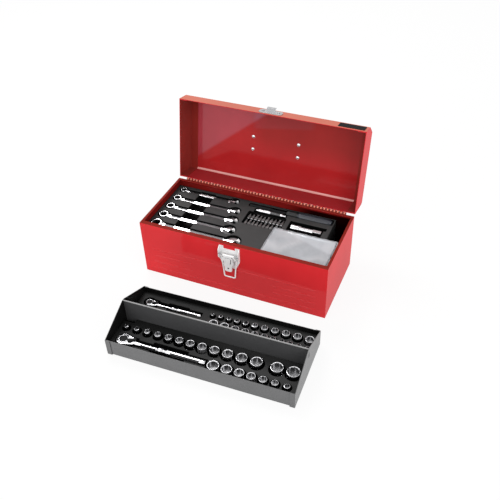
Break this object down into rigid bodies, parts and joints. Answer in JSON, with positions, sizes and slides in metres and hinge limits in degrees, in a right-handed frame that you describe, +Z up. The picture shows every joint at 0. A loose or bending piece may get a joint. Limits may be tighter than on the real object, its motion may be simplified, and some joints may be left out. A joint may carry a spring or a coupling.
{
  "type": "toolbox with tray",
  "caption": "Steel toolbox with a hinged lid, draw latch and carry handle, spanners and a driver in an insert, and a gabled tray of sockets and ratchets beside it.",
  "frame": {"origin": "middle of the box's underside", "axes": "+X along the box to its right, +Y towards the hinge side, +Z up; the latch faces -Y"},
  "size_m": [0.4699, 0.5657, 0.3467],
  "materials": {
    "red_paint": "glossy red enamel on sheet steel",
    "chrome": "bright chrome plate",
    "steel": "zinc-plated steel",
    "tray_paint": "satin dark grey enamel",
    "insert_plastic": "matt moulded plastic",
    "black_plastic": "dark smooth plastic or lacquer",
    "bag_film": "thin translucent film"
  },
  "bodies": {
    "box": {"base_insert": "insert_plastic", "bit_clip_back": "black_plastic", "bit_clip_front": "black_plastic", "bits_back": "steel", "bits_front": "steel", "body_end_left": "red_paint", "body_end_right": "red_paint", "body_wrap": "red_paint", "hinge_leaf_body": "red_paint", "hinge_pin": "steel", "latch_base": "chrome", "latch_pin": "steel", "latch_rivet_left": "steel", "latch_rivet_right": "steel", "parts_bag": "bag_film"},
    "lid": {"catch_plate": "chrome", "catch_rivet_left": "steel", "catch_rivet_right": "steel", "handle_bracket_left": "chrome", "handle_bracket_right": "chrome", "handle_rivet_left_back": "steel", "handle_rivet_left_front": "steel", "handle_rivet_right_back": "steel", "handle_rivet_right_front": "steel", "hinge_leaf_lid": "red_paint", "label_plate": "black_plastic", "lid_end_left": "red_paint", "lid_end_right": "red_paint", "lid_wrap": "red_paint"},
    "handle": {"handle_bar": "chrome", "handle_grip": "black_plastic"},
    "latch_lever": {"latch_lever": "chrome"},
    "latch_bail": {"latch_bail": "chrome"},
    "tray": {"sockets_row_a": "chrome", "sockets_row_b": "chrome", "sockets_row_c": "chrome", "sockets_row_d": "chrome", "tray_divider": "tray_paint", "tray_end_left": "tray_paint", "tray_end_right": "tray_paint", "tray_insert_back": "insert_plastic", "tray_insert_front": "insert_plastic", "tray_wrap": "tray_paint"},
    "holder": {"bit_holder": "chrome"},
    "driver": {"driver_handle": "black_plastic", "driver_shaft": "black_plastic"},
    "extension": {"extension_bar": "chrome"},
    "ratchet_large": {"ratchet_large_body": "chrome"},
    "ratchet_large_drive": {"ratchet_large_drive": "black_plastic"},
    "ratchet_large_lever": {"ratchet_large_lever": "black_plastic"},
    "ratchet_small": {"ratchet_small_body": "chrome"},
    "ratchet_small_drive": {"ratchet_small_drive": "black_plastic"},
    "ratchet_small_lever": {"ratchet_small_lever": "black_plastic"},
    "spanner_1": {"spanner_1": "chrome"},
    "spanner_2": {"spanner_2": "chrome"},
    "spanner_3": {"spanner_3": "chrome"},
    "spanner_4": {"spanner_4": "chrome"},
    "spanner_5": {"spanner_5": "chrome"}
  },
  "joints": [
    {"name": "lid_hinge", "type": "hinge", "parent": "box", "child": "lid", "pos_m": [0, 0.1017, 0.14315], "axis": [1, 0, 0], "range_deg": [0, 100.5]},
    {"name": "handle_swing", "type": "hinge", "parent": "lid", "child": "handle", "pos_m": [0, 0.19344, 0.22958], "axis": [1, 0, 0], "range_deg": [-8, 160]},
    {"name": "latch_lever_swing", "type": "hinge", "parent": "box", "child": "latch_lever", "pos_m": [0, -0.1065, 0.119], "axis": [1, 0, 0], "range_deg": [-120, 0]},
    {"name": "latch_bail_swing", "type": "hinge", "parent": "latch_lever", "child": "latch_bail", "pos_m": [0, -0.1032, 0.108], "axis": [-1, 0, 0], "range_deg": [0, 145]},
    {"name": "tray_lift", "type": "slide", "parent": "box", "child": "tray", "axis": [0, 0, 1], "range_m": [0, 0.08]},
    {"name": "spanner_1_lift", "type": "slide", "parent": "box", "child": "spanner_1", "axis": [0, 0, 1], "range_m": [0, 0.03]},
    {"name": "spanner_2_lift", "type": "slide", "parent": "box", "child": "spanner_2", "axis": [0, 0, 1], "range_m": [0, 0.03]},
    {"name": "spanner_3_lift", "type": "slide", "parent": "box", "child": "spanner_3", "axis": [0, 0, 1], "range_m": [0, 0.03]},
    {"name": "spanner_4_lift", "type": "slide", "parent": "box", "child": "spanner_4", "axis": [0, 0, 1], "range_m": [0, 0.03]},
    {"name": "spanner_5_lift", "type": "slide", "parent": "box", "child": "spanner_5", "axis": [0, 0, 1], "range_m": [0, 0.03]},
    {"name": "driver_lift", "type": "slide", "parent": "box", "child": "driver", "axis": [0, 0, 1], "range_m": [0, 0.03]},
    {"name": "holder_lift", "type": "slide", "parent": "box", "child": "holder", "axis": [0, 0, 1], "range_m": [0, 0.03]},
    {"name": "extension_lift", "type": "slide", "parent": "box", "child": "extension", "axis": [0, 0, 1], "range_m": [0, 0.03]},
    {"name": "ratchet_large_lift", "type": "slide", "parent": "tray", "child": "ratchet_large", "axis": [0, 0, 1], "range_m": [0, 0.04]},
    {"name": "ratchet_large_drive_turn", "type": "hinge", "parent": "ratchet_large", "child": "ratchet_large_drive", "pos_m": [-0.14074, -0.33775, 0.02], "axis": [0, 0, 1], "continuous": true},
    {"name": "ratchet_large_lever_flip", "type": "hinge", "parent": "ratchet_large", "child": "ratchet_large_lever", "pos_m": [-0.1235, -0.33712, 0.02], "axis": [0, 0, 1], "range_deg": [-60, 0]},
    {"name": "ratchet_small_lift", "type": "slide", "parent": "tray", "child": "ratchet_small", "axis": [0, 0, 1], "range_m": [0, 0.04]},
    {"name": "ratchet_small_drive_turn", "type": "hinge", "parent": "ratchet_small", "child": "ratchet_small_drive", "pos_m": [-0.14613, -0.21787, 0.02], "axis": [0, 0, 1], "continuous": true},
    {"name": "ratchet_small_lever_flip", "type": "hinge", "parent": "ratchet_small", "child": "ratchet_small_lever", "pos_m": [-0.13406, -0.21743, 0.02], "axis": [0, 0, 1], "range_deg": [-60, 0]}
  ]
}
